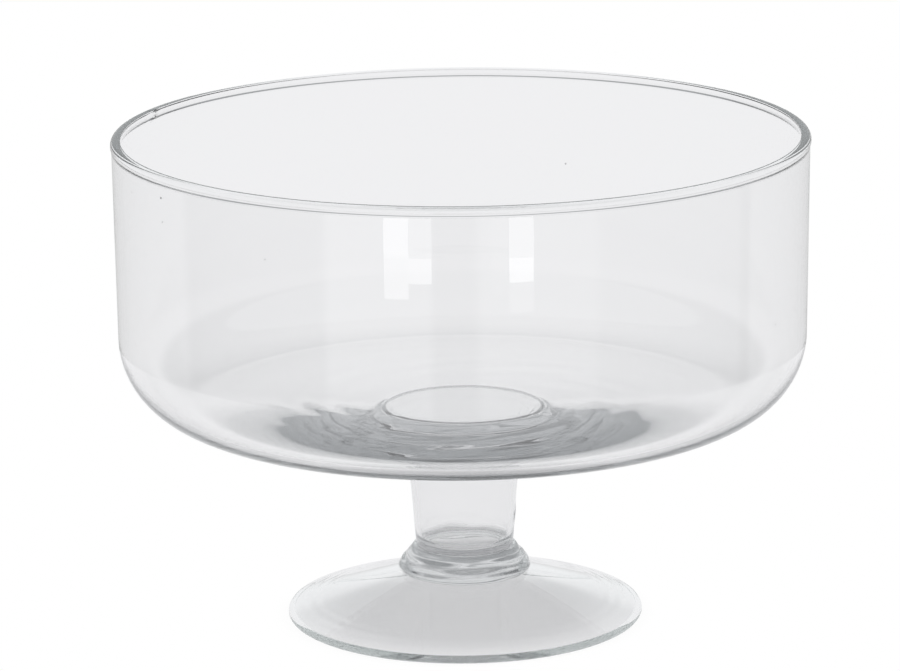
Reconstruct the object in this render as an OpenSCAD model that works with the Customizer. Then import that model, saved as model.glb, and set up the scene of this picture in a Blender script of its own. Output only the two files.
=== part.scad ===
// Footed trifle bowl of clear blown glass: a straight-sided bowl on a hollow stem, with a collar
// and a spread foot. The four pieces are joined hot, face to face, one on top of the other.
// Millimetres, +Z up, origin at the centre of the ring that the foot stands on.

/* [Bowl] */
// Diameter over the rim bead
rim_d = 190; // [150:1:260]
// Thickness of the fire-polished bead round the rim
rim_bead_d = 2.8; // [2.2:0.1:5]
// How far the bead stands out from the wall under it
rim_bead_proud = 0.3; // [0.1:0.1:1]
// Height of the bowl, from its seat on the stem to the top of the rim
bowl_h = 91.6; // [74:0.2:140]
// Thickness of the side wall
wall_t = 1.8; // [1.2:0.1:3]
// Inward lean of the side wall towards the base, in degrees
wall_lean = 0.64; // [0.1:0.02:6]
// Outside radius of the heel, where the side turns into the base
heel_r = 22.5; // [12:0.5:30]
// Rise of the underside, in a hollow sweep from the neck out to the heel
base_rise = 4.6; // [4:0.1:9]
// Slope of the sweep where it meets the heel, in degrees
base_edge_slope = 2.8; // [0.8:0.1:3.4]
// Thickness of the floor beside the heel
floor_edge_t = 2.4; // [1.6:0.1:5]

/* [Neck] */
// Height of the flared neck under the base, from the seat on the stem to the underside
neck_h = 9.8; // [7:0.1:14]
// Outward lean of the neck, in degrees
neck_lean = 37; // [24:0.5:44]
// Radius of the fillet between the neck and the underside
neck_fillet = 4; // [2:0.1:8]
// Thickness of the floor over the neck's hollow
neck_roof_t = 5; // [1.2:0.1:7]
// Radius round the top of the neck's hollow
neck_hollow_r = 0.8; // [0.4:0.1:3]

/* [Stem] */
// Diameter of the stem at the bowl
stem_top_d = 30.6; // [26:0.2:34]
// Diameter of the stem at the collar
stem_foot_d = 26.7; // [22:0.1:27.4]
// Length of the stem
stem_h = 24.1; // [14:0.1:60]
// Thickness of the stem's tube
stem_wall_t = 1.4; // [1:0.1:4]
// Thickness of the stem's closed lower end
stem_end_t = 1.2; // [0.8:0.1:8]
// Radius inside the stem's lower corner
stem_corner_r = 8; // [2:0.1:9]

/* [Collar] */
// Widest diameter of the collar
collar_d = 36.4; // [34:0.2:46]
// Diameter of the collar's top
collar_top_d = 29; // [28:0.2:33]
// Height of the collar
collar_h = 7.3; // [5:0.1:14]
// Radius of the collar's lower edge
collar_edge_r = 1.5; // [0.8:0.1:2.2]
// Radius of the collar's upper edge
collar_lip_r = 0.7; // [0.3:0.1:0.8]

/* [Foot] */
// Diameter of the foot
foot_d = 98; // [80:0.5:130]
// Height of the foot
foot_h = 12.6; // [9:0.1:20]
// Thickness of the foot's spread
foot_t = 2.4; // [1.6:0.1:2.7]
// Thickness of the foot's round edge
foot_edge_t = 2.6; // [2.2:0.1:5]
// Width of the ring that touches the table
foot_rest_w = 1; // [0.6:0.1:3]
// Thickness of the foot's middle, under the collar
foot_middle_t = 1.4; // [1.2:0.1:6]

/* [Hidden] */
$fn = 180;
sweep_fn = 1440;
glass = [0.86, 0.92, 0.92, 0.4];
// How far a round corner laps the faces that it blends into, so that they cross cleanly
blend_lap = 0.002;

// Heights of the joints, from the table up
collar_z = foot_h;
stem_z = collar_z + collar_h;
bowl_z = stem_z + stem_h;
rim_z = bowl_z + bowl_h;

// Normals of a level face that looks down and of an upright face that looks outwards
down_n = [0, -1];
out_n = [1, 0];

// Point where two lines meet, each given by its normal and by its reach along that normal
function meet(n1, d1, n2, d2) =
    [d1 * n2.y - d2 * n1.y, n1.x * d2 - n2.x * d1] / (n1.x * n2.y - n1.y * n2.x);

// Normal of the line that touches two round corners on their outer side
function outer_touch(c1, r1, c2, r2) =
    let (run = c2 - c1, turn = atan2(run.y, run.x) - acos((r1 - r2) / norm(run)))
    [cos(turn), sin(turn)];

// Point at one distance from a centre and at one reach along a normal, on the side that a direction points to
function beside(c, r, n, d, along) =
    let (across = d - n * c) c + n * across + along * sqrt(pow(r, 2) - pow(across, 2));

// Bowl, outside: a leaning wall, the heel's arc and the sweep of the underside, each touching the next
bead_r = rim_bead_d / 2;
bead_c = [rim_d / 2 - bead_r, rim_z - bead_r];
wall_n = [cos(wall_lean), -sin(wall_lean)];
wall_top = [rim_d / 2 - rim_bead_proud, bead_c.y];
wall_reach = wall_n * wall_top;
seat_r = stem_top_d / 2;
neck_n = [cos(neck_lean), -sin(neck_lean)];
neck_up = [sin(neck_lean), cos(neck_lean)];
neck_foot = [seat_r, bowl_z];
neck_top = neck_foot + neck_up * neck_h / neck_up.y;
heel_z = neck_top.y + base_rise;
heel_c = meet(wall_n, wall_reach - heel_r, down_n, -heel_z - heel_r);
sweep_n = [sin(base_edge_slope), -cos(base_edge_slope)];
heel_touch = heel_c + sweep_n * heel_r;
sweep_r = pow(norm(heel_touch - neck_top), 2) / (2 * (neck_top - heel_touch) * sweep_n);
sweep_c = heel_touch + sweep_n * sweep_r;

// Fillet that runs from the neck into the sweep
neck_fillet_c = beside(sweep_c, sweep_r - neck_fillet, neck_n, neck_n * neck_foot + neck_fillet, neck_up);
neck_touch = neck_fillet_c - neck_n * neck_fillet;
sweep_touch = sweep_c + (neck_fillet_c - sweep_c) * sweep_r / (sweep_r - neck_fillet);

// Bowl, inside: the wall's inner face, a level floor and the heel's inner arc
floor_z = heel_z + floor_edge_t;
inner_heel_r = heel_r - floor_edge_t;
inner_reach = wall_reach - wall_t;
inner_heel_c = meet(wall_n, inner_reach - inner_heel_r, down_n, -floor_z - inner_heel_r);
inner_top = meet(wall_n, inner_reach, down_n, -bead_c.y);

// Stem: a tube that widens upwards, with a hollow that follows its side
stem_lean = atan2((stem_top_d - stem_foot_d) / 2, stem_h);
stem_n = [cos(stem_lean), -sin(stem_lean)];
bore_reach = stem_n * neck_foot - stem_wall_t;
bore_z = stem_z + stem_end_t;
bore_c = meet(stem_n, bore_reach - stem_corner_r, down_n, -bore_z - stem_corner_r);
bore_top = meet(stem_n, bore_reach, down_n, -bowl_z);

// Hollow of the neck: it follows the neck's side from the stem's bore up to a level roof
hollow_reach = neck_n * bore_top;
roof_z = floor_z - neck_roof_t;
hollow_c = meet(neck_n, hollow_reach - neck_hollow_r, down_n, neck_hollow_r - roof_z);

// Collar: two round edges and the flank that touches both
edge_c = [collar_d / 2 - collar_edge_r, collar_z + collar_edge_r];
lip_c = [collar_top_d / 2 - collar_lip_r, stem_z - collar_lip_r];
flank_n = outer_touch(edge_c, collar_edge_r, lip_c, collar_lip_r);

// Foot: a spread that falls from the collar to a round edge, hollow underneath
foot_edge_r = foot_edge_t / 2;
foot_edge_c = [foot_d / 2 - foot_edge_r, foot_edge_r];
foot_top = [edge_c.x, foot_h];
spread_n = outer_touch(foot_edge_c, foot_edge_r, foot_top, 0);
under_reach = spread_n * foot_top - foot_t;
rest_r = foot_edge_c.x - foot_rest_w;
hollow_z = foot_h - foot_middle_t;
hollow_edge = meet(spread_n, under_reach, out_n, rest_r);
hollow_top = meet(spread_n, under_reach, down_n, -hollow_z);

// Part of the profile's plane, from the axis outwards, between two heights
module band(low, high, reach = rim_d) {
    translate([0, low]) square([reach, high - low]);
}

// Disc about a centre on the profile
module disc(centre, radius) {
    translate(centre) circle(r = radius);
}

// Disc of a round corner, which laps the faces beside it
module corner(centre, radius) {
    disc(centre, radius + blend_lap);
}

// Everything inside the bowl's outer face
module bowl_outline() {
    difference() {
        polygon([
            [0, bowl_z],
            [heel_touch.x, bowl_z],
            heel_touch,
            heel_c + wall_n * heel_r,
            wall_top,
            [0, bead_c.y]
        ]);
        disc(sweep_c, sweep_r, $fn = sweep_fn);
    }
    corner(heel_c, heel_r);
    polygon([[0, bowl_z], neck_foot, neck_top, [neck_top.x, floor_z], [0, floor_z]]);
    difference() {
        polygon([neck_touch, neck_fillet_c, sweep_touch, [neck_top.x, sweep_touch.y]]);
        corner(neck_fillet_c, neck_fillet);
    }
}

// The space inside the bowl, down to the level floor
module bowl_space() {
    polygon([
        [0, floor_z],
        [inner_heel_c.x, floor_z],
        inner_heel_c + wall_n * inner_heel_r,
        inner_top,
        [0, bead_c.y]
    ]);
    corner(inner_heel_c, inner_heel_r);
}

// The hollow under the floor, open to the stem's bore
module neck_hollow() {
    polygon([
        [0, bowl_z],
        bore_top,
        hollow_c + neck_n * neck_hollow_r,
        [hollow_c.x, roof_z],
        [0, roof_z]
    ]);
    corner(hollow_c, neck_hollow_r);
}

module bowl() {
    color(glass) rotate_extrude() {
        difference() {
            bowl_outline();
            bowl_space();
            neck_hollow();
        }
        disc(bead_c, bead_r);
    }
}

module stem() {
    color(glass) rotate_extrude() difference() {
        polygon([[0, stem_z], [stem_foot_d / 2, stem_z], neck_foot, [0, bowl_z]]);
        polygon([
            [0, bore_z],
            [bore_c.x, bore_z],
            bore_c + stem_n * stem_corner_r,
            bore_top,
            [0, bowl_z]
        ]);
        corner(bore_c, stem_corner_r);
    }
}

module collar() {
    color(glass) rotate_extrude() intersection() {
        union() {
            polygon([
                [0, collar_z],
                [edge_c.x, collar_z],
                edge_c + flank_n * collar_edge_r,
                lip_c + flank_n * collar_lip_r,
                [lip_c.x, stem_z],
                [0, stem_z]
            ]);
            corner(edge_c, collar_edge_r);
            corner(lip_c, collar_lip_r);
        }
        band(collar_z, stem_z);
    }
}

module foot() {
    color(glass) rotate_extrude() difference() {
        intersection() {
            union() {
                polygon([
                    [0, 0],
                    [foot_edge_c.x, 0],
                    foot_edge_c + spread_n * foot_edge_r,
                    foot_top,
                    [0, foot_h]
                ]);
                corner(foot_edge_c, foot_edge_r);
            }
            band(0, foot_h);
        }
        polygon([[0, 0], [rest_r, 0], hollow_edge, hollow_top, [0, hollow_z]]);
    }
}

bowl();
stem();
collar();
foot();
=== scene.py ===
"""A footed trifle bowl of clear blown glass, dressed on a pale studio floor.

Sizes of the pieces and of the studio are millimetres, as on a maker's drawing. Meshes and the sizes in the
finish are metres. Outlines are half sections in the plane of radius and height, drawn with the glass on the
right hand, from the axis round to the axis, and turned about the axis.
"""
import logging
import math
from collections.abc import Callable, Sequence
from dataclasses import dataclass, field
from enum import Enum
from typing import Union

import bmesh
import bpy
from mathutils import Matrix, Vector


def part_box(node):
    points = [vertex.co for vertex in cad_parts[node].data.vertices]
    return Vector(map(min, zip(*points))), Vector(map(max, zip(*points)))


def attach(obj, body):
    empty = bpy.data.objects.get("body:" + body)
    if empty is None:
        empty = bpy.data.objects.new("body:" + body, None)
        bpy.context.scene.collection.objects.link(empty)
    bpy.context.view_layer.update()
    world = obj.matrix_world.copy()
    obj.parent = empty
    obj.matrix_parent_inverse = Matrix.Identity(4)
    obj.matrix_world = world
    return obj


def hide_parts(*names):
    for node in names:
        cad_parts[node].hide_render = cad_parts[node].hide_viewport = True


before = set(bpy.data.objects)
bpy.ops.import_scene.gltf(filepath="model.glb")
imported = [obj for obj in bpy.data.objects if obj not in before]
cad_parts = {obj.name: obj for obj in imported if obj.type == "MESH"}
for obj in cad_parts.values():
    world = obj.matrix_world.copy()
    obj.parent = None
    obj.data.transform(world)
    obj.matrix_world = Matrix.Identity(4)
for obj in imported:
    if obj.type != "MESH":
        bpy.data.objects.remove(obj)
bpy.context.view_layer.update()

log = logging.getLogger("trifle_bowl")

MM = 0.001
BODY = "root"
SHARP_ANGLE = 40.0
LIGHT_BOUNCES = 128
WHITE = (1.0, 1.0, 1.0)

Colour = tuple[float, float, float]


class Socket:
    """A shader socket that takes part in Python expressions."""

    def __init__(self, graph: "Graph", link: bpy.types.NodeSocket) -> None:
        """Keeps the socket and the graph that its expressions grow in."""
        self.graph = graph
        self.link = link

    def __add__(self, other: "Value") -> "Socket":
        """Sum of two values."""
        return self.graph.maths("ADD", self, other)

    def __sub__(self, other: "Value") -> "Socket":
        """This value less the other."""
        return self.graph.maths("SUBTRACT", self, other)

    def __rsub__(self, other: "Value") -> "Socket":
        """The other value less this one."""
        return self.graph.maths("SUBTRACT", other, self)

    def __mul__(self, other: "Value") -> "Socket":
        """Product of two values."""
        return self.graph.maths("MULTIPLY", self, other)

    def __truediv__(self, other: "Value") -> "Socket":
        """This value over the other."""
        return self.graph.maths("DIVIDE", self, other)

    def __rtruediv__(self, other: "Value") -> "Socket":
        """The other value over this one."""
        return self.graph.maths("DIVIDE", other, self)

    __radd__ = __add__
    __rmul__ = __mul__

    def between(self, low: float, high: float) -> "Socket":
        """A smooth step from 0 to 1.

        Args:
            low: Value at which the step leaves 0.
            high: Value at which the step reaches 1.

        Returns:
            The step's value.
        """
        inputs = {"Value": self, "From Min": low, "From Max": high}
        return self.graph.value("ShaderNodeMapRange", {"interpolation_type": "SMOOTHSTEP"}, inputs)


Value = Union[Socket, float]


def opaque(colour: Colour) -> tuple[float, float, float, float]:
    """A colour with full alpha, as a socket takes it."""
    return (*colour, 1.0)


class Graph:
    """The node tree of a material or of the world."""

    def __init__(self, tree: bpy.types.NodeTree) -> None:
        """Takes a tree and empties it."""
        self.tree = tree
        tree.nodes.clear()

    def node(self, kind: str, settings: dict | None = None, sockets: dict | None = None) -> bpy.types.Node:
        """Makes any node.

        Args:
            kind: The node's type.
            settings: Properties of the node, which are set first, or the stops of its ramp.
            sockets: Values or links of its inputs, by name or by number.

        Returns:
            The new node.
        """
        made = self.tree.nodes.new(kind)
        for name, setting in (settings or {}).items():
            if name == "stops":
                self.set_stops(made.color_ramp, setting)
            else:
                setattr(made, name, setting)
        for name, entry in (sockets or {}).items():
            if isinstance(entry, Socket):
                self.tree.links.new(entry.link, made.inputs[name])
            else:
                made.inputs[name].default_value = entry
        return made

    @staticmethod
    def set_stops(ramp: bpy.types.ColorRamp, stops: Sequence[tuple[float, float]]) -> None:
        """Gives a ramp its stops.

        Args:
            ramp: The ramp, with its two first stops.
            stops: Place and grey level of each stop, in order.
        """
        while len(ramp.elements) < len(stops):
            ramp.elements.new(1.0)
        for element, (place, level) in zip(ramp.elements, stops):
            element.position = place
            element.color = (level, level, level, 1.0)

    def value(self, kind: str, settings: dict | None = None, sockets: dict | None = None,
              output: str | int = 0) -> Socket:
        """Makes a node and gives one of its outputs.

        Args:
            kind: The node's type.
            settings: Properties of the node.
            sockets: Values or links of its inputs.
            output: Name or number of the output.

        Returns:
            That output, ready for an expression.
        """
        return Socket(self, self.node(kind, settings, sockets).outputs[output])

    def outputs(self, node: bpy.types.Node, *names: str) -> tuple[Socket, ...]:
        """Gives some of a node's outputs, ready for expressions."""
        return tuple(Socket(self, node.outputs[name]) for name in names)

    def rays(self, *kinds: str) -> tuple[Socket, ...]:
        """Says of each kind of ray whether the one that arrives is of that kind."""
        return self.outputs(self.node("ShaderNodeLightPath"), *(f"Is {kind} Ray" for kind in kinds))

    def clouds(self, place: Socket, size: float, detail: float) -> Socket:
        """A cloudy pattern through space, with so many clouds to a metre and so many finer layers."""
        return self.value("ShaderNodeTexNoise", {}, {"Vector": place, "Scale": size, "Detail": detail})

    def maths(self, operation: str, *values: Value) -> Socket:
        """A Math node on values or links."""
        return self.value("ShaderNodeMath", {"operation": operation}, dict(enumerate(values)))

    def blend(self, share: Value, first: Union[Socket, Colour], second: Union[Socket, Colour]) -> Socket:
        """Mixes two colours.

        Args:
            share: Part of the second colour, from 0 to 1.
            first: Colour at 0.
            second: Colour at 1.

        Returns:
            The mixed colour.
        """
        ends = [end if isinstance(end, Socket) else opaque(end) for end in (first, second)]
        return self.value("ShaderNodeMix", {"data_type": "RGBA"}, {0: share, 6: ends[0], 7: ends[1]}, 2)


def point(radius: float, height: float) -> Vector:
    """A point of a half section."""
    return Vector((radius, height))


def facing(degrees: float) -> Vector:
    """The direction at an angle from straight outwards, turning up."""
    turn = math.radians(degrees)
    return Vector((math.cos(turn), math.sin(turn)))


def angle_of(way: Vector) -> float:
    """Angle of a direction from straight outwards, in degrees."""
    return math.degrees(math.atan2(way.y, way.x))


def meet(first: Vector, reach_1: float, second: Vector, reach_2: float) -> Vector:
    """The point where two lines meet.

    Args:
        first: Normal of the first line.
        reach_1: How far the first line lies along its normal.
        second: Normal of the second line.
        reach_2: How far the second line lies along its normal.

    Returns:
        The point that lies on both.
    """
    span = first.x * second.y - first.y * second.x
    x = (reach_1 * second.y - reach_2 * first.y) / span
    y = (first.x * reach_2 - second.x * reach_1) / span
    return point(x, y)


def outer_touch(centre_1: Vector, radius_1: float, centre_2: Vector, radius_2: float) -> Vector:
    """Normal of the line that touches two round corners on their outer side.

    Args:
        centre_1: Centre of the first corner.
        radius_1: Radius of the first corner.
        centre_2: Centre of the second corner.
        radius_2: Radius of the second corner, or 0 for a point.

    Returns:
        The unit normal.
    """
    run = centre_2 - centre_1
    return facing(angle_of(run) - math.degrees(math.acos((radius_1 - radius_2) / run.length)))


def beside(centre: Vector, distance: float, normal: Vector, reach: float, along: Vector) -> Vector:
    """A point at one distance from a centre and at one reach along a normal.

    Args:
        centre: The centre.
        distance: Distance from the centre.
        normal: Unit normal.
        reach: Reach of the point along the normal.
        along: Unit vector square to the normal, towards the wanted one of the two points.

    Returns:
        The point.
    """
    across = reach - normal.dot(centre)
    return centre + normal * across + along * math.sqrt(distance ** 2 - across ** 2)


class Outline:
    """A half section made of straight runs and arcs, in millimetres."""

    ARC_STEP = 0.9
    ARC_TURN = 7.5
    ARC_LEAST = 3
    RUN_STEP = 1.6
    SAME_PLACE = 1e-4

    def __init__(self, start: Vector, run_step: float = RUN_STEP) -> None:
        """Starts at a point on the axis and keeps the longest step of a straight run."""
        self.points = [start]
        self.run_step = run_step

    def line(self, end: Vector) -> "Outline":
        """Adds a straight run.

        Args:
            end: Where the run ends.

        Returns:
            This outline.
        """
        start = self.points[-1]
        count = max(1, math.ceil((end - start).length / self.run_step))
        self.points += [start.lerp(end, step / count) for step in range(1, count + 1)]
        return self

    def arc(self, centre: Vector, radius: float, start: float, end: float) -> "Outline":
        """Adds an arc, after a straight run to its start.

        Args:
            centre: Centre of the arc.
            radius: Its radius.
            start: Angle at which it starts, in degrees from straight outwards, turning up.
            end: Angle at which it ends.

        Returns:
            This outline.
        """
        first = centre + facing(start) * radius
        if (first - self.points[-1]).length > self.SAME_PLACE:
            self.line(first)
        sweep = abs(end - start)
        length = math.radians(sweep) * radius
        count = max(self.ARC_LEAST, math.ceil(length / self.ARC_STEP), math.ceil(sweep / self.ARC_TURN))
        turns = [start + (end - start) * step / count for step in range(1, count + 1)]
        self.points += [centre + facing(turn) * radius for turn in turns]
        return self


Unevenness = Callable[[float, float, float], tuple[float, float]]


def turned(name: str, outline: Outline, around: int, uneven: Unevenness) -> bpy.types.Object:
    """Turns an outline about the axis into a closed mesh.

    Args:
        name: Name of the object.
        outline: Half section that starts and ends on the axis.
        around: Number of steps round the axis.
        uneven: Gives how far the glass at a radius, height and turn stands off, outwards and upwards.

    Returns:
        The object, in metres.
    """
    ring_points = outline.points[1:-1]
    verts: list[tuple[float, float, float]] = [(0.0, 0.0, outline.points[0].y * MM)]
    for spot in ring_points:
        for step in range(around):
            turn = 2 * math.pi * step / around
            out, up = uneven(spot.x, spot.y, turn)
            radius = (spot.x + out) * MM
            verts.append((radius * math.cos(turn), radius * math.sin(turn), (spot.y + up) * MM))
    verts.append((0.0, 0.0, outline.points[-1].y * MM))
    last = len(verts) - 1
    rings = [1 + ring * around for ring in range(len(ring_points))]
    faces: list[tuple[int, ...]] = []
    for step in range(around):
        beyond = (step + 1) % around
        faces.append((0, rings[0] + step, rings[0] + beyond))
        for here, after in zip(rings, rings[1:]):
            faces.append((here + step, after + step, after + beyond, here + beyond))
        faces.append((rings[-1] + step, last, rings[-1] + beyond))
    mesh = bpy.data.meshes.new(name)
    mesh.from_pydata(verts, [], faces)
    mesh.validate()
    mesh.shade_smooth()
    mesh.set_sharp_from_angle(angle=math.radians(SHARP_ANGLE))
    piece = bpy.data.objects.new(name, mesh)
    bpy.context.scene.collection.objects.link(piece)
    return piece


def hump(place: float, middle: float, half: float) -> float:
    """A smooth hump of height 1.

    Args:
        place: Where its height is asked for.
        middle: Where it is highest.
        half: How far from the middle it ends.

    Returns:
        Its height at the place.
    """
    gap = abs(place - middle) / half
    return (1 - gap * gap) ** 2 if gap < 1 else 0.0


@dataclass(frozen=True)
class Wave:
    """A wave round the axis: its count, its start in degrees, its height, and its share of a shift."""

    count: int
    start: float
    height: float
    follow: float = 0.0

    def rise(self, turn: float, shift: float) -> float:
        """Height of the wave at a turn, after its start has gone along with a shift."""
        return self.height * math.sin(self.count * turn + math.radians(self.start + self.follow * shift))


def ripple(turn: float, waves: Sequence[Wave], shift: float = 0.0) -> float:
    """A sum of waves round the axis.

    Args:
        turn: Angle round the axis, in radians.
        waves: The waves.
        shift: What moves the starts of the waves that follow it.

    Returns:
        The sum at that angle.
    """
    return sum(wave.rise(turn, shift) for wave in waves)


@dataclass(frozen=True)
class Threads:
    """Fine rings that follow each other on turned glass, higher and lower round the axis."""

    step: float
    height: float
    even: float
    swell: tuple[Wave, ...]
    drift: tuple[Wave, ...]

    def rise(self, place: float, turn: float) -> float:
        """How far the glass stands off.

        Args:
            place: Height or radius of the glass, along which the rings follow each other.
            turn: Angle round the axis, in radians.

        Returns:
            The distance, under 0 between two rings.
        """
        size = self.height * (self.even + ripple(turn, self.swell))
        return size * math.sin(math.radians(360 * place / self.step + ripple(turn, self.drift)))


@dataclass(frozen=True)
class Seed:
    """A tiny bubble of air in the glass."""

    turn: float
    radius: float
    height: float
    size: float

    def blow(self, mesh: bmesh.types.BMesh) -> None:
        """Adds the bubble to a mesh, with its skin turned towards the glass.

        Args:
            mesh: The mesh of the glass round it.
        """
        way = facing(self.turn) * self.radius
        place = Matrix.Translation(Vector((way.x, way.y, self.height)) * MM)
        made = bmesh.ops.create_icosphere(mesh, subdivisions=2, radius=self.size * MM, matrix=place)
        faces = list({face for vert in made["verts"] for face in vert.link_faces})
        for face in faces:
            face.smooth = True
        bmesh.ops.reverse_faces(mesh, faces=faces)


@dataclass(frozen=True)
class ClearGlass:
    """Fire-polished soda glass: what it takes from the light, and how far its skin is from flat."""

    name: str
    refraction: float = 1.51
    loss_per_metre: Colour = (8.2, 7.8, 7.6)
    loss_scale: float = 100.0
    swirl_size: float = 60.0
    swirl_depth: float = 0.00001
    haze: float = 0.003
    scuff: float = 0.4
    scuff_top: tuple[float, float] = (0.0002, 0.0005)
    grain_size: float = 900.0
    grain_edge: tuple[float, float] = (0.42, 0.66)
    wipe_size: float = 38.0
    wipe_edge: tuple[float, float] = (0.56, 0.78)

    def material(self) -> bpy.types.Material:
        """Makes the glass with its faint swirl, a trace of wiping haze and the scuffs of its resting ring.

        Returns:
            The material.
        """
        made = bpy.data.materials.new(self.name)
        made.use_nodes = True
        graph = Graph(made.node_tree)
        place = graph.value("ShaderNodeNewGeometry", output="Position")
        swirl = graph.clouds(place, self.swirl_size, detail=1.0)
        bump = graph.value("ShaderNodeBump", {}, {
            "Height": swirl, "Strength": 1.0, "Distance": self.swirl_depth,
        })
        height = graph.value("ShaderNodeSeparateXYZ", {}, {"Vector": place}, "Z")
        raised = height.between(*self.scuff_top)
        grain = graph.clouds(place, self.grain_size, detail=3.0)
        wiped = graph.clouds(place, self.wipe_size, detail=4.0)
        scuffs = grain.between(*self.grain_edge) * (1.0 - raised) * self.scuff
        rough = scuffs + wiped.between(*self.wipe_edge) * self.haze
        skin = graph.value("ShaderNodeBsdfPrincipled", {}, {
            "Base Color": opaque(WHITE), "Roughness": rough, "IOR": self.refraction,
            "Transmission Weight": 1.0, "Normal": bump,
        })
        tint = tuple(1 - loss / self.loss_scale for loss in self.loss_per_metre)
        inside = graph.value("ShaderNodeVolumeAbsorption", {}, {
            "Color": opaque(tint), "Density": self.loss_scale,
        })
        graph.node("ShaderNodeOutputMaterial", {}, {"Surface": skin, "Volume": inside})
        return made


@dataclass
class GlassPiece:
    """What the four turned pieces share: a node of the frame, its height, and how it is dressed."""

    node: str
    around: int = 288
    lap: float = 0.03
    low_z: float = field(init=False)
    high_z: float = field(init=False)
    reach: float = field(init=False)

    def __post_init__(self) -> None:
        """Reads the node's heights and its reach from the frame."""
        low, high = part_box(self.node)
        self.low_z = low.z / MM
        self.high_z = high.z / MM
        self.reach = max(high.x, high.y) / MM

    def outline(self) -> Outline:
        """The piece's half section."""
        raise NotImplementedError

    def uneven(self, radius: float, height: float, turn: float) -> tuple[float, float]:
        """How far the glass at a place stands off, outwards and upwards."""
        return 0.0, 0.0

    def between_ends(self, height: float) -> float:
        """A hump that is highest halfway up the piece and ends at both its ends."""
        return hump(height, (self.low_z + self.high_z) / 2, (self.high_z - self.low_z) / 2)

    def build(self) -> bpy.types.Object:
        """Makes the piece's mesh.

        Returns:
            The object.
        """
        return turned(f"{self.node}_glass", self.outline(), self.around, self.uneven)

    def dress(self, piece: bpy.types.Object, glass: bpy.types.Material) -> None:
        """Gives the piece its glass and its place in the frame.

        Args:
            piece: The piece's object.
            glass: Its material.
        """
        piece.data.materials.append(glass)
        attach(piece, BODY)
        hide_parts(self.node)


@dataclass
class Stem(GlassPiece):
    """The hollow stem, which widens towards the bowl and is closed at the collar."""

    node: str = "stem"
    foot_r: float = 13.35
    wall_t: float = 1.4
    end_t: float = 0.8
    corner_r: float = 3.0
    twist: float = 70.0
    twist_step: float = 3.1
    bore_twist: float = 24.0
    waver: tuple[Wave, ...] = (Wave(2, 0, 0.10, 1), Wave(3, 130, 0.07, -1), Wave(7, 0, 0.02, 2))
    bore_n: Vector = field(init=False)
    bore_reach: float = field(init=False)
    bore_top: Vector = field(init=False)

    def __post_init__(self) -> None:
        """Works out the side's lean and the bore."""
        super().__post_init__()
        lean = math.degrees(math.atan2(self.reach - self.foot_r, self.high_z - self.low_z))
        self.bore_n = facing(-lean)
        self.bore_reach = self.bore_n.dot(point(self.reach, self.high_z)) - self.wall_t
        self.bore_top = meet(self.bore_n, self.bore_reach, facing(-90), -self.high_z)

    def outline(self) -> Outline:
        """Bore floor, bore, upper end, side and closed lower end.

        Returns:
            The half section.
        """
        floor_z = self.low_z + self.end_t
        corner = meet(self.bore_n, self.bore_reach - self.corner_r, facing(-90), -floor_z - self.corner_r)
        made = Outline(point(0, floor_z))
        made.arc(corner, self.corner_r, -90, angle_of(self.bore_n))
        made.line(self.bore_top)
        made.line(point(self.reach, self.high_z))
        made.line(point(self.foot_r, self.low_z - self.lap))
        return made.line(point(0, self.low_z - self.lap))

    def uneven(self, radius: float, height: float, turn: float) -> tuple[float, float]:
        """Lets the tube waver between its ends, and its bore a little apart from its side.

        Args:
            radius: Radius of the place.
            height: Its height.
            turn: Its angle round the axis, in radians.

        Returns:
            How far the glass stands off there, outwards and upwards.
        """
        swell = self.between_ends(height) * min(1.0, radius / self.foot_r)
        start = self.twist * math.sin(height / self.twist_step) + self.bore_twist * (self.reach - radius)
        return swell * ripple(turn, self.waver, start), 0.0


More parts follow.
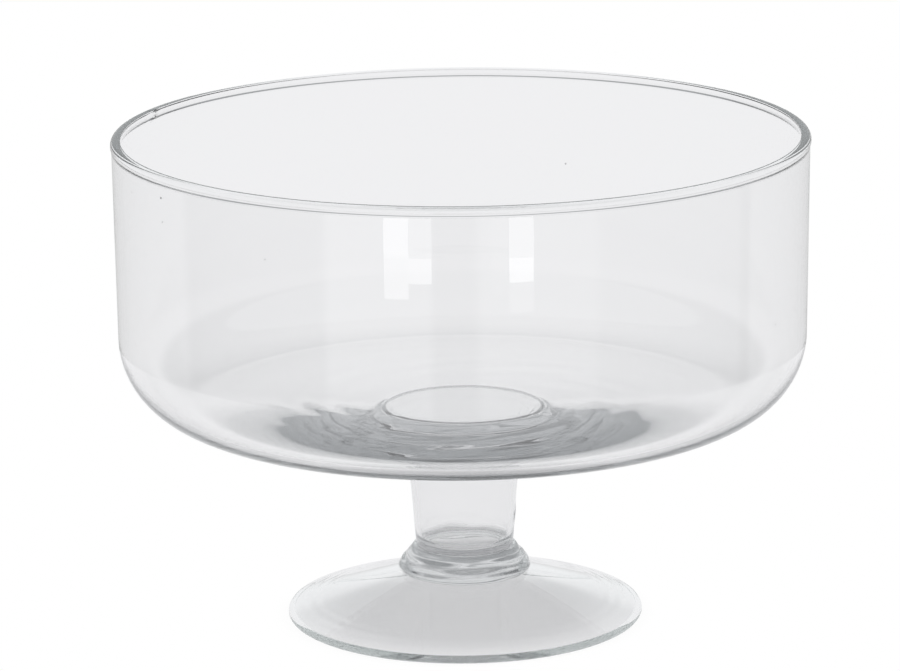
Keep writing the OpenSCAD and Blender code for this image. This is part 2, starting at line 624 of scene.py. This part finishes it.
@dataclass
class Bowl(GlassPiece):
    """The bowl: bead, straight side, heel, swept underside, and a flared hollow neck for the stem.

    The neck wavers and the underside billows, each within a reach: the middle and the half width of a band
    of radii.
    """

    node: str = "bowl"
    around: int = 360
    stem: Stem = field(default_factory=Stem)
    bead_r: float = 1.4
    bead_proud: float = 0.3
    bead_lip_r: float = 0.3
    bead_tuck_in: float = 2.0
    bead_tuck_out: float = 2.0
    wall_t: float = 1.8
    wall_lean: float = 0.64
    heel_r: float = 22.5
    neck_h: float = 9.8
    neck_lean: float = 37.0
    neck_fillet: float = 4.0
    base_rise: float = 4.6
    edge_slope: float = 2.8
    floor_t: float = 2.4
    roof_t: float = 6.0
    hollow_r: float = 0.4
    neck_step: float = 0.4
    waver_share: float = 0.55
    waver_reach: tuple[float, float] = (20.0, 14.0)
    twist: float = 55.0
    twist_step: float = 2.3
    twist_out: float = 20.0
    waver: tuple[Wave, ...] = (
        Wave(2, 0, 0.2, 1), Wave(5, 40, 0.2, -1), Wave(9, 0, 0.14, 2), Wave(16, 0, 0.07, 3),
        Wave(33, 0, 0.035, 5),
    )
    threads: Threads = Threads(2.6, 0.2, 0.6, swell=(Wave(3, 40, 0.3), Wave(7, 160, 0.2)),
                               drift=(Wave(1, 250, 150), Wave(2, 60, 110), Wave(5, 10, 70)))
    billow_reach: tuple[float, float] = (40.0, 20.0)
    billow_up: float = 1.5
    billow_half: float = 4.0
    billow: tuple[Wave, ...] = (Wave(3, 0, 0.05, 30), Wave(7, 0, 0.03, 15), Wave(12, 80, 0.02, 40))
    lap_turn: float = 157.0
    lap_half: float = 2.4
    lap_in: float = 0.28
    lap_rise: float = 0.12
    seeds: tuple[Seed, ...] = (
        Seed(-146.4, 93.7, 129.7, 0.32), Seed(-157.6, 93.6, 127.8, 0.18), Seed(-146.2, 93.7, 123.3, 0.2),
        Seed(-28.0, 93.3, 92.0, 0.2), Seed(71.0, 93.5, 108.0, 0.24), Seed(128.0, 93.2, 84.0, 0.2),
    )

    def build(self) -> bpy.types.Object:
        """Makes the bowl and lets its seeds into the wall.

        Returns:
            The object.
        """
        piece = super().build()
        mesh = bmesh.new()
        mesh.from_mesh(piece.data)
        for seed in self.seeds:
            seed.blow(mesh)
        mesh.to_mesh(piece.data)
        mesh.free()
        return piece

    def outline(self) -> Outline:
        """Floor, inner side, bead, outer side, heel, underside, neck and the neck's hollow.

        Returns:
            The half section.
        """
        down = facing(-90)
        wall_n = facing(-self.wall_lean)
        wall_down = facing(-90 - self.wall_lean)
        bead_c = point(self.reach - self.bead_r, self.high_z - self.bead_r)
        outer = wall_n.dot(point(self.reach - self.bead_proud, bead_c.y))
        inner = outer - self.wall_t
        neck_n = facing(-self.neck_lean)
        neck_up = facing(90 - self.neck_lean)
        neck_foot = point(self.stem.reach, self.low_z)
        neck_top = neck_foot + neck_up * (self.neck_h / neck_up.y)
        heel_z = neck_top.y + self.base_rise
        heel_c = meet(wall_n, outer - self.heel_r, down, -heel_z - self.heel_r)
        sweep_n = facing(self.edge_slope - 90)
        heel_touch = heel_c + sweep_n * self.heel_r
        sweep_r = (heel_touch - neck_top).length_squared / (2 * (neck_top - heel_touch).dot(sweep_n))
        sweep_c = heel_touch + sweep_n * sweep_r
        fillet_reach = neck_n.dot(neck_foot) + self.neck_fillet
        fillet_c = beside(sweep_c, sweep_r - self.neck_fillet, neck_n, fillet_reach, neck_up)
        floor_z = heel_z + self.floor_t
        inner_r = self.heel_r - self.floor_t
        inner_c = meet(wall_n, inner - inner_r, down, -floor_z - inner_r)
        roof_z = floor_z - self.roof_t
        hollow_reach = neck_n.dot(self.stem.bore_top) - self.hollow_r
        hollow_c = meet(neck_n, hollow_reach, down, self.hollow_r - roof_z)

        tuck_in, tuck_out = self.bead_tuck_in, self.bead_tuck_out
        inside_c = beside(bead_c, self.bead_r + tuck_in, -wall_n, tuck_in - inner, wall_down)
        outside_c = beside(bead_c, self.bead_r + tuck_out, wall_n, outer + tuck_out, wall_down)

        made = Outline(point(0, floor_z))
        made.arc(inner_c, inner_r, -90, -self.wall_lean)
        made.arc(inside_c, tuck_in, -self.wall_lean, angle_of(bead_c - inside_c))
        made.arc(bead_c, self.bead_r, 180 + angle_of(bead_c - inside_c), 180)
        made.arc(bead_c + point(-1, 1) * (self.bead_r - self.bead_lip_r), self.bead_lip_r, 180, 90)
        made.arc(bead_c, self.bead_r, 90, angle_of(outside_c - bead_c))
        made.arc(outside_c, tuck_out, angle_of(bead_c - outside_c), 180 - self.wall_lean)
        made.arc(heel_c, self.heel_r, -self.wall_lean, self.edge_slope - 90)
        made.arc(sweep_c, sweep_r, self.edge_slope + 90, angle_of(fillet_c - sweep_c))
        made.arc(fillet_c, self.neck_fillet, angle_of(fillet_c - sweep_c), 180 - self.neck_lean)
        made.run_step = self.neck_step
        made.line(point(self.stem.reach, self.low_z - self.lap))
        made.line(point(self.stem.bore_top.x, self.low_z - self.lap))
        made.arc(hollow_c, self.hollow_r, -self.neck_lean, 90)
        made.run_step = Outline.RUN_STEP
        return made.line(point(0, roof_z))

    def uneven(self, radius: float, height: float, turn: float) -> tuple[float, float]:
        """Lets the neck and the underside waver, and laps the ends of the bead.

        Args:
            radius: Radius of the place.
            height: Its height.
            turn: Its angle round the axis, in radians.

        Returns:
            How far the glass stands off there, outwards and upwards.
        """
        if height > self.high_z - 2 * self.bead_r:
            lapped = hump(math.degrees(turn), self.lap_turn, self.lap_half)
            return -self.lap_in * lapped, self.lap_rise * lapped
        half_neck = self.waver_share * self.neck_h
        neck = hump(height, self.low_z + half_neck, half_neck) * hump(radius, *self.waver_reach)
        start = self.twist * math.sin(height / self.twist_step) + self.twist_out * radius
        out = ripple(turn, self.waver, start) + self.threads.rise(height, turn)
        under_z = self.low_z + self.neck_h
        under = hump(radius, *self.billow_reach) * hump(height, under_z + self.billow_up, self.billow_half)
        return neck * out, under * ripple(turn, self.billow, radius)


@dataclass
class Collar(GlassPiece):
    """The collar: a pressed ring of glass between the stem and the foot."""

    node: str = "collar"
    top_r: float = 14.5
    edge_r: float = 1.5
    lip_r: float = 0.7
    flank_step: float = 0.22
    press_w: float = 9.0
    dents: tuple[Wave, ...] = (Wave(3, 20, 0.2, 90), Wave(5, 80, 0.1, -90))
    threads: Threads = Threads(1.9, 0.16, 0.75, swell=(Wave(2, 110, 0.25),),
                               drift=(Wave(1, 40, 70), Wave(2, 10, 40), Wave(5, 200, 25)))

    def outline(self) -> Outline:
        """Top, lip, flank, lower edge and underside.

        Returns:
            The half section.
        """
        edge_c = point(self.reach - self.edge_r, self.low_z + self.edge_r)
        lip_c = point(self.top_r - self.lip_r, self.high_z - self.lip_r)
        flank = angle_of(outer_touch(edge_c, self.edge_r, lip_c, self.lip_r))
        made = Outline(point(0, self.high_z))
        made.arc(lip_c, self.lip_r, 90, flank)
        made.run_step = self.flank_step
        made.arc(edge_c, self.edge_r, flank, -90)
        made.run_step = Outline.RUN_STEP
        made.line(point(edge_c.x, self.low_z - self.lap))
        return made.line(point(0, self.low_z - self.lap))

    def uneven(self, radius: float, height: float, turn: float) -> tuple[float, float]:
        """Leaves the dents of the tool that pressed the ring and the threads it was wound in.

        Args:
            radius: Radius of the place.
            height: Its height.
            turn: Its angle round the axis, in radians.

        Returns:
            How far the glass stands off there, outwards and upwards.
        """
        press = self.between_ends(height) * hump(radius, self.reach, self.press_w)
        return press * (ripple(turn, self.dents, height) + self.threads.rise(height, turn)), 0.0


@dataclass
class Foot(GlassPiece):
    """The foot: a spread that falls to a round edge, hollow underneath."""

    node: str = "foot"
    top_r: float = 16.7
    spread_t: float = 2.4
    edge_t: float = 2.6
    rest_w: float = 1.0
    middle_t: float = 1.4
    hollow_fillet: float = 4.0
    ring_reach: tuple[float, float] = (42.0, 6.0)
    rings: Threads = Threads(3.4, 0.05, 0.6, swell=(Wave(2, 30, 0.25), Wave(5, 70, 0.15)),
                             drift=(Wave(1, 200, 90), Wave(3, 20, 50)))
    fine_step: float = 0.6

    def outline(self) -> Outline:
        """Top, spread, round edge, resting ring and hollow.

        Returns:
            The half section.
        """
        edge_r = self.edge_t / 2
        edge_c = point(self.reach - edge_r, edge_r)
        top = point(self.top_r, self.high_z)
        spread = outer_touch(edge_c, edge_r, top, 0)
        under = spread.dot(top) - self.spread_t
        rest_r = edge_c.x - self.rest_w
        hollow_z = self.high_z - self.middle_t
        round_c = meet(spread, under - self.hollow_fillet, facing(90), hollow_z - self.hollow_fillet)
        made = Outline(point(0, self.high_z), self.fine_step)
        made.line(top)
        made.arc(edge_c, edge_r, angle_of(spread), -90)
        made.line(point(rest_r, 0))
        made.line(meet(spread, under, facing(0), rest_r))
        made.arc(round_c, self.hollow_fillet, angle_of(spread), 90)
        return made.line(point(0, hollow_z))

    def uneven(self, radius: float, height: float, turn: float) -> tuple[float, float]:
        """Leaves the rings of the spinning that opened the foot, near its edge, on the upper face.

        Args:
            radius: Radius of the place.
            height: Its height.
            turn: Its angle round the axis, in radians.

        Returns:
            How far the glass stands off there, outwards and upwards.
        """
        fall = (self.high_z - self.edge_t) * (self.reach - radius) / (self.reach - self.top_r)
        if height < fall:
            return 0.0, 0.0
        return 0.0, hump(radius, *self.ring_reach) * self.rings.rise(radius, turn)


class Zone(Enum):
    """Heights of the sky, as the sine of the angle above the horizon, where its light changes."""

    BAND_TOP = (0.22, 0.36)
    SOFTBOX = (0.70, 0.90)
    ROOM = (-0.05, 0.10)


@dataclass(frozen=True)
class Pane:
    """A bright upright pane in front of the bowl, which only shows as a reflection in its side."""

    left: float
    right: float
    low: float
    high: float
    level: float
    away: float = 310.0

    def build(self, name: str) -> None:
        """Makes the pane and hides it from all but reflections.

        Args:
            name: Name of the pane.
        """
        turns = (math.radians(self.left), math.radians(self.right))
        places = [(self.away * math.sin(turn), -self.away * math.cos(turn)) for turn in turns]
        start, end = places
        corners = [(*start, self.low), (*end, self.low), (*end, self.high), (*start, self.high)]
        mesh = bpy.data.meshes.new(name)
        mesh.from_pydata([Vector(corner) * MM for corner in corners], [], [(0, 1, 2, 3)])
        made = bpy.data.materials.new(name)
        made.use_nodes = True
        graph = Graph(made.node_tree)
        light = graph.value("ShaderNodeEmission", {}, {"Strength": self.level})
        graph.node("ShaderNodeOutputMaterial", {}, {"Surface": light})
        mesh.materials.append(made)
        pane = bpy.data.objects.new(name, mesh)
        pane.visible_camera = False
        pane.visible_diffuse = False
        pane.visible_transmission = False
        pane.visible_shadow = False
        bpy.context.scene.collection.objects.link(pane)


@dataclass(frozen=True)
class Studio:
    """White low sky all round, a dim ring above it and a soft light overhead, over a round floor.

    The ring draws the dark lines of the rim. Outer reflections see a room with pale walls and a pale
    ceiling.
    """

    band: Colour = (0.885, 0.885, 0.897)
    dim: Colour = (0.34, 0.35, 0.36)
    softbox: Colour = (0.5, 0.5, 0.5)
    ceiling: Colour = (0.90, 0.93, 0.94)
    fill: Colour = (0.90, 0.90, 0.91)
    floor_r: float = 320.0
    floor_steps: int = 96
    floor_colour: Colour = (0.80, 0.80, 0.82)
    # Painted shade: within these radii of the axis the floor's white glow is turned down to the share
    # below, so the floor there is darker than its real shadow alone makes it.
    painted_shade_r: tuple[float, float] = (28.0, 54.0)
    painted_shade_share: float = 0.66
    room: tuple[tuple[float, float], ...] = (
        (0.0, 0.62), (0.21, 0.55), (0.222, 0.0), (0.37, 0.1), (0.378, 1.0), (0.47, 0.95), (0.476, 0.15),
        (0.51, 0.15), (0.518, 0.9), (0.57, 0.8), (0.62, 0.75), (0.63, 0.3), (0.785, 0.3), (0.79, 0.05),
        (0.80, 0.05), (0.806, 0.55), (1.0, 0.62),
    )
    panes: tuple[Pane, ...] = (
        Pane(-21.3, -14.5, 67.3, 79, 3.6),
        Pane(-21.3, -14.5, 54.5, 67.3, 2.9),
        Pane(-14.5, -8.2, 67.3, 79, 1.9),
        Pane(-14.5, -8.2, 59.6, 67.3, 3.2),
        Pane(12.8, 19.6, 67.3, 79, 2.8),
        Pane(12.8, 19.6, 59.6, 67.3, 4.0),
        Pane(12.8, 19.6, 50, 59.6, 1.5),
        Pane(8.0, 12.8, 56, 79, 1.1),
    )

    def build(self) -> None:
        """Makes the sky, the floor and the panes."""
        self.sky()
        self.floor()
        for number, pane in enumerate(self.panes, start=1):
            pane.build(f"pane_{number}")

    def sky(self) -> None:
        """Lights the world by height, shows white behind the object, and a room in outer reflections."""
        world = bpy.data.worlds.new("studio_sky")
        world.use_nodes = True
        bpy.context.scene.world = world
        graph = Graph(world.node_tree)
        way = graph.value("ShaderNodeTexCoord", output="Generated")
        parts = graph.node("ShaderNodeSeparateXYZ", {}, {"Vector": way})
        across, ahead, rise = graph.outputs(parts, "X", "Y", "Z")
        camera, mirrored, spread = graph.rays("Camera", "Reflection", "Diffuse")
        turn = graph.maths("ARCTAN2", across, ahead * -1.0) / (2 * math.pi) + 0.5
        walls = graph.value("ShaderNodeValToRGB", {"stops": self.room}, {"Fac": turn})
        low = graph.blend(rise.between(*Zone.BAND_TOP.value), self.band, self.dim)
        through = graph.blend(rise.between(*Zone.SOFTBOX.value), low, self.softbox)
        room = graph.blend(rise.between(*Zone.ROOM.value), walls, self.ceiling)
        light = graph.blend(spread, graph.blend(mirrored, through, room), self.fill)
        shown = graph.blend(camera, light, WHITE)
        back = graph.value("ShaderNodeBackground", {}, {"Color": shown, "Strength": 1.0})
        graph.node("ShaderNodeOutputWorld", {}, {"Surface": back})

    def floor(self) -> None:
        """Makes a round floor that is white but for the shade by the foot: a real shadow in its matt part,
        deepened by painted shade near the axis.
        """
        made = bpy.data.materials.new("pale_floor")
        made.use_nodes = True
        graph = Graph(made.node_tree)
        place = graph.value("ShaderNodeNewGeometry", output="Position")
        far = graph.value("ShaderNodeVectorMath", {"operation": "LENGTH"}, {0: place}, "Value")
        camera, glossy, through = graph.rays("Camera", "Glossy", "Transmission")
        seen = camera + glossy + through
        matt = graph.value("ShaderNodeBsdfDiffuse", {}, {"Color": opaque(self.floor_colour)})
        backdrop = graph.blend(camera, self.band, WHITE)
        white = graph.value("ShaderNodeEmission", {}, {"Color": backdrop, "Strength": 1.0})
        # Painted shade: towards the axis the white glow falls to a smaller share, which darkens the floor
        # by the foot on top of the real shadow of its matt part.
        clear = far.between(*(radius * MM for radius in self.painted_shade_r))
        share = graph.maths("MINIMUM", seen, 1.0) * (self.painted_shade_share + clear * (1 - self.painted_shade_share))
        skin = graph.value("ShaderNodeMixShader", {}, {0: share, 1: matt, 2: white})
        graph.node("ShaderNodeOutputMaterial", {}, {"Surface": skin})
        turns = [2 * math.pi * step / self.floor_steps for step in range(self.floor_steps)]
        edge = [Vector((math.cos(turn), math.sin(turn), 0.0)) * self.floor_r * MM for turn in turns]
        mesh = bpy.data.meshes.new("studio_floor")
        mesh.from_pydata(edge, [], [tuple(range(self.floor_steps))])
        mesh.materials.append(made)
        floor = bpy.data.objects.new("studio_floor", mesh)
        bpy.context.scene.collection.objects.link(floor)


@dataclass(frozen=True)
class Camera:
    """The photograph's camera: a long lens that looks a little down on the bowl."""

    frame_px: float = 900.0
    focal_px: float = 5016.6
    sensor: float = 36.0
    place: tuple[float, float, float] = (0.0, -1334.149, 410.068)
    pitch: float = 13.939
    yaw: float = -0.148
    roll: float = 0.601

    def build(self) -> None:
        """Makes the camera and gives it to the scene."""
        data = bpy.data.cameras.new("portrait_camera")
        data.sensor_width = self.sensor
        data.lens = self.focal_px / self.frame_px * self.sensor
        camera = bpy.data.objects.new("portrait_camera", data)
        pitch, yaw, roll = (math.radians(angle) for angle in (self.pitch, self.yaw, self.roll))
        ahead = Vector((math.sin(yaw) * math.cos(pitch), math.cos(yaw) * math.cos(pitch), -math.sin(pitch)))
        level = Vector((math.cos(yaw), -math.sin(yaw), 0.0))
        up = level.cross(ahead)
        right = level * math.cos(roll) - up * math.sin(roll)
        top = level * math.sin(roll) + up * math.cos(roll)
        turn = Matrix((right, top, -ahead)).transposed().to_4x4()
        camera.matrix_world = Matrix.Translation(Vector(self.place) * MM) @ turn
        bpy.context.scene.collection.objects.link(camera)
        bpy.context.scene.camera = camera


def set_light_paths() -> None:
    """Lets light pass all the walls of the glass, and keeps the colours as they are written."""
    scene = bpy.context.scene
    scene.view_settings.view_transform = "Standard"
    for name in ("max_bounces", "transmission_bounces", "glossy_bounces", "transparent_max_bounces"):
        setattr(scene.cycles, name, LIGHT_BOUNCES)


def main() -> None:
    """Builds the camera, the studio and the four pieces of glass, in order."""
    logging.basicConfig(level=logging.INFO, format="%(message)s")
    set_light_paths()
    Camera().build()
    Studio().build()
    thick = ClearGlass("clear_glass").material()
    thin = ClearGlass("clear_glass_foot", loss_per_metre=(5.2, 4.6, 4.7)).material()
    tube = ClearGlass("clear_glass_stem", loss_per_metre=(34.0, 33.5, 32.5)).material()
    stem = Stem()
    for part, glass in ((Foot(), thin), (Collar(), thick), (stem, tube), (Bowl(stem=stem), thick)):
        piece = part.build()
        part.dress(piece, glass)
        log.info("%s: %d faces", piece.name, len(piece.data.polygons))


if __name__ == "__main__":
    main()
